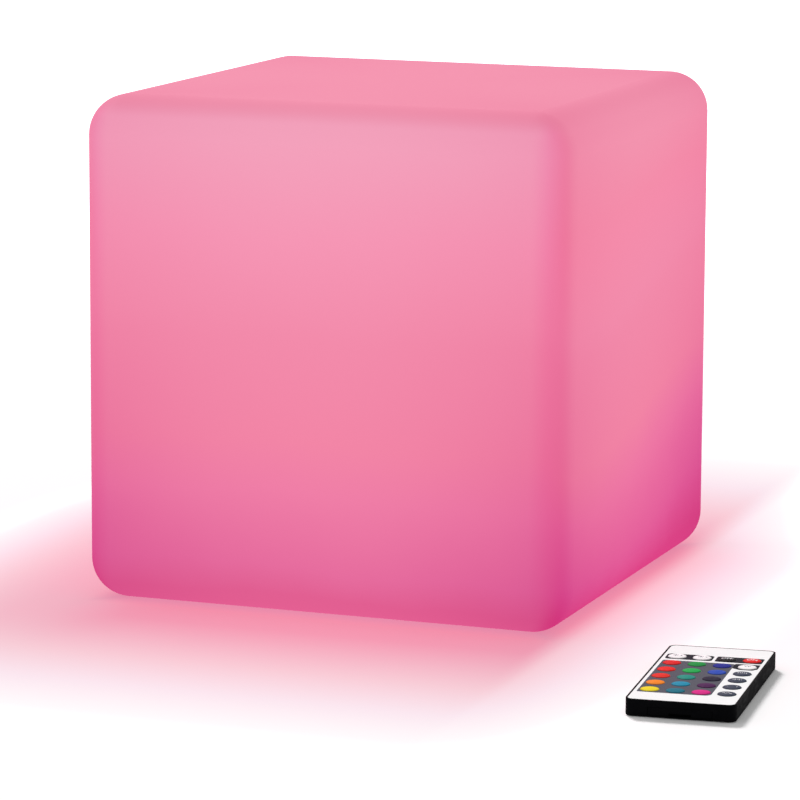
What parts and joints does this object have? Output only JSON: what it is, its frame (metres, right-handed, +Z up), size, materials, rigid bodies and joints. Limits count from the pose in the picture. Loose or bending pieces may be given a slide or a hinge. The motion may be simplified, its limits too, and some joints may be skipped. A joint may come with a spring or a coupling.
{
  "type": "led cube light",
  "caption": "Hollow glowing cube with rounded edges, a sealed light and battery unit in its base, and a flat remote beside it.",
  "frame": {"origin": "middle of the cube's underside, on the floor", "axes": "+Z up through the cube's top face, -Y out of the face with the remote before it, +X out of the face on that face's right"},
  "size_m": [0.2961, 0.2971, 0.2],
  "materials": {
    "glow_plastic": "translucent, satin moulded",
    "brass": "turned",
    "cover_plastic": "fine moulded texture",
    "seal_rubber": "matt",
    "screw_steel": "plain",
    "housing_plastic": "fine moulded texture",
    "white_board": "solder mask",
    "light_chips": "lit",
    "dark_resin": "gloss",
    "frosted_lens": "frosted",
    "green_board": "solder mask",
    "cell_wrap": "shrink wrap",
    "jack_plastic": "moulded",
    "nut_plastic": "moulded",
    "cap_rubber": "soft, matt",
    "button_plastic": "gloss",
    "spring_steel": "drawn wire",
    "light_pipe": "clear",
    "red_lead": "insulation",
    "black_lead": "insulation",
    "remote_black": "fine moulded texture",
    "remote_white": "printed sheet",
    "dome_sheet": "clear film over domes",
    "clear_resin": "clear",
    "cell_steel": "polished",
    "key_yellow": "satin moulded",
    "key_deep_cyan": "satin moulded",
    "key_magenta": "satin moulded",
    "key_slate": "satin moulded",
    "key_orange": "satin moulded",
    "key_cyan": "satin moulded",
    "key_purple": "satin moulded",
    "key_vermilion": "satin moulded",
    "key_teal": "satin moulded",
    "key_indigo": "satin moulded",
    "key_scarlet": "satin moulded",
    "key_light_green": "satin moulded",
    "key_light_blue": "satin moulded",
    "key_red": "satin moulded",
    "key_green": "satin moulded",
    "key_blue": "satin moulded",
    "key_white": "satin moulded",
    "key_off": "satin moulded",
    "key_on": "satin moulded"
  },
  "bodies": {
    "light": {"shell": "glow_plastic", "shell_inserts": "brass", "base_cover": "cover_plastic", "base_gasket": "seal_rubber", "base_screws": "screw_steel", "light_housing": "housing_plastic", "housing_screws": "screw_steel", "led_board": "white_board", "led_chips": "light_chips", "ir_receiver": "dark_resin", "light_lens": "frosted_lens", "lens_screws": "screw_steel", "control_board": "green_board", "board_parts": "dark_resin", "small_screws": "screw_steel", "battery_cell": "cell_wrap", "battery_clamp": "housing_plastic", "charge_jack": "jack_plastic", "panel_nuts": "nut_plastic", "panel_seals": "seal_rubber", "port_cover_pin": "screw_steel", "power_switch": "jack_plastic", "button_spring": "spring_steel", "charge_indicator": "light_pipe", "leads_red": "red_lead", "leads_black": "black_lead"},
    "power_button": {"power_button": "button_plastic"},
    "port_cover": {"port_cover": "cap_rubber"},
    "remote": {"remote_case": "remote_black", "remote_face": "remote_white", "remote_board": "green_board", "remote_domes": "dome_sheet", "remote_emitter": "clear_resin", "remote_board_parts": "dark_resin"},
    "battery_tray": {"remote_tray": "remote_black", "coin_cell": "cell_steel"},
    "key_yellow": {"key_yellow": "key_yellow"},
    "key_deep_cyan": {"key_deep_cyan": "key_deep_cyan"},
    "key_magenta": {"key_magenta": "key_magenta"},
    "key_smooth": {"key_smooth": "key_slate"},
    "key_orange": {"key_orange": "key_orange"},
    "key_cyan": {"key_cyan": "key_cyan"},
    "key_purple": {"key_purple": "key_purple"},
    "key_fade": {"key_fade": "key_slate"},
    "key_vermilion": {"key_vermilion": "key_vermilion"},
    "key_teal": {"key_teal": "key_teal"},
    "key_indigo": {"key_indigo": "key_indigo"},
    "key_strobe": {"key_strobe": "key_slate"},
    "key_scarlet": {"key_scarlet": "key_scarlet"},
    "key_light_green": {"key_light_green": "key_light_green"},
    "key_light_blue": {"key_light_blue": "key_light_blue"},
    "key_flash": {"key_flash": "key_slate"},
    "key_red": {"key_red": "key_red"},
    "key_green": {"key_green": "key_green"},
    "key_blue": {"key_blue": "key_blue"},
    "key_white": {"key_white": "key_white"},
    "key_brighter": {"key_brighter": "key_white"},
    "key_dimmer": {"key_dimmer": "key_white"},
    "key_off": {"key_off": "key_off"},
    "key_on": {"key_on": "key_on"}
  },
  "joints": [
    {"name": "power_button_press", "type": "slide", "parent": "light", "child": "power_button", "axis": [0, 0, 1], "range_m": [0, 0.0012], "stiffness_N_per_m": 800, "deforming": ["button_spring"]},
    {"name": "port_cover_hinge", "type": "hinge", "parent": "light", "child": "port_cover", "pos_m": [-0.0246, -0.017, 0.0035], "axis": [0, 1, 0], "range_deg": [0, 110]},
    {"name": "remote_lift", "type": "slide", "parent": "light", "child": "remote", "axis": [0, 0, 1], "range_m": [0, 0.1]},
    {"name": "battery_tray_slide", "type": "slide", "parent": "remote", "child": "battery_tray", "axis": [0.1045, -0.9945, 0], "range_m": [0, 0.03]},
    {"name": "key_yellow_press", "type": "slide", "parent": "remote", "child": "key_yellow", "axis": [0, 0, -1], "range_m": [0, 0.0003], "stiffness_N_per_m": 400},
    {"name": "key_deep_cyan_press", "type": "slide", "parent": "remote", "child": "key_deep_cyan", "axis": [0, 0, -1], "range_m": [0, 0.0003], "stiffness_N_per_m": 400},
    {"name": "key_magenta_press", "type": "slide", "parent": "remote", "child": "key_magenta", "axis": [0, 0, -1], "range_m": [0, 0.0003], "stiffness_N_per_m": 400},
    {"name": "key_smooth_press", "type": "slide", "parent": "remote", "child": "key_smooth", "axis": [0, 0, -1], "range_m": [0, 0.0003], "stiffness_N_per_m": 400},
    {"name": "key_orange_press", "type": "slide", "parent": "remote", "child": "key_orange", "axis": [0, 0, -1], "range_m": [0, 0.0003], "stiffness_N_per_m": 400},
    {"name": "key_cyan_press", "type": "slide", "parent": "remote", "child": "key_cyan", "axis": [0, 0, -1], "range_m": [0, 0.0003], "stiffness_N_per_m": 400},
    {"name": "key_purple_press", "type": "slide", "parent": "remote", "child": "key_purple", "axis": [0, 0, -1], "range_m": [0, 0.0003], "stiffness_N_per_m": 400},
    {"name": "key_fade_press", "type": "slide", "parent": "remote", "child": "key_fade", "axis": [0, 0, -1], "range_m": [0, 0.0003], "stiffness_N_per_m": 400},
    {"name": "key_vermilion_press", "type": "slide", "parent": "remote", "child": "key_vermilion", "axis": [0, 0, -1], "range_m": [0, 0.0003], "stiffness_N_per_m": 400},
    {"name": "key_teal_press", "type": "slide", "parent": "remote", "child": "key_teal", "axis": [0, 0, -1], "range_m": [0, 0.0003], "stiffness_N_per_m": 400},
    {"name": "key_indigo_press", "type": "slide", "parent": "remote", "child": "key_indigo", "axis": [0, 0, -1], "range_m": [0, 0.0003], "stiffness_N_per_m": 400},
    {"name": "key_strobe_press", "type": "slide", "parent": "remote", "child": "key_strobe", "axis": [0, 0, -1], "range_m": [0, 0.0003], "stiffness_N_per_m": 400},
    {"name": "key_scarlet_press", "type": "slide", "parent": "remote", "child": "key_scarlet", "axis": [0, 0, -1], "range_m": [0, 0.0003], "stiffness_N_per_m": 400},
    {"name": "key_light_green_press", "type": "slide", "parent": "remote", "child": "key_light_green", "axis": [0, 0, -1], "range_m": [0, 0.0003], "stiffness_N_per_m": 400},
    {"name": "key_light_blue_press", "type": "slide", "parent": "remote", "child": "key_light_blue", "axis": [0, 0, -1], "range_m": [0, 0.0003], "stiffness_N_per_m": 400},
    {"name": "key_flash_press", "type": "slide", "parent": "remote", "child": "key_flash", "axis": [0, 0, -1], "range_m": [0, 0.0003], "stiffness_N_per_m": 400},
    {"name": "key_red_press", "type": "slide", "parent": "remote", "child": "key_red", "axis": [0, 0, -1], "range_m": [0, 0.0003], "stiffness_N_per_m": 400},
    {"name": "key_green_press", "type": "slide", "parent": "remote", "child": "key_green", "axis": [0, 0, -1], "range_m": [0, 0.0003], "stiffness_N_per_m": 400},
    {"name": "key_blue_press", "type": "slide", "parent": "remote", "child": "key_blue", "axis": [0, 0, -1], "range_m": [0, 0.0003], "stiffness_N_per_m": 400},
    {"name": "key_white_press", "type": "slide", "parent": "remote", "child": "key_white", "axis": [0, 0, -1], "range_m": [0, 0.0003], "stiffness_N_per_m": 400},
    {"name": "key_brighter_press", "type": "slide", "parent": "remote", "child": "key_brighter", "axis": [0, 0, -1], "range_m": [0, 0.0003], "stiffness_N_per_m": 400},
    {"name": "key_dimmer_press", "type": "slide", "parent": "remote", "child": "key_dimmer", "axis": [0, 0, -1], "range_m": [0, 0.0003], "stiffness_N_per_m": 400},
    {"name": "key_off_press", "type": "slide", "parent": "remote", "child": "key_off", "axis": [0, 0, -1], "range_m": [0, 0.0003], "stiffness_N_per_m": 400},
    {"name": "key_on_press", "type": "slide", "parent": "remote", "child": "key_on", "axis": [0, 0, -1], "range_m": [0, 0.0003], "stiffness_N_per_m": 400}
  ]
}
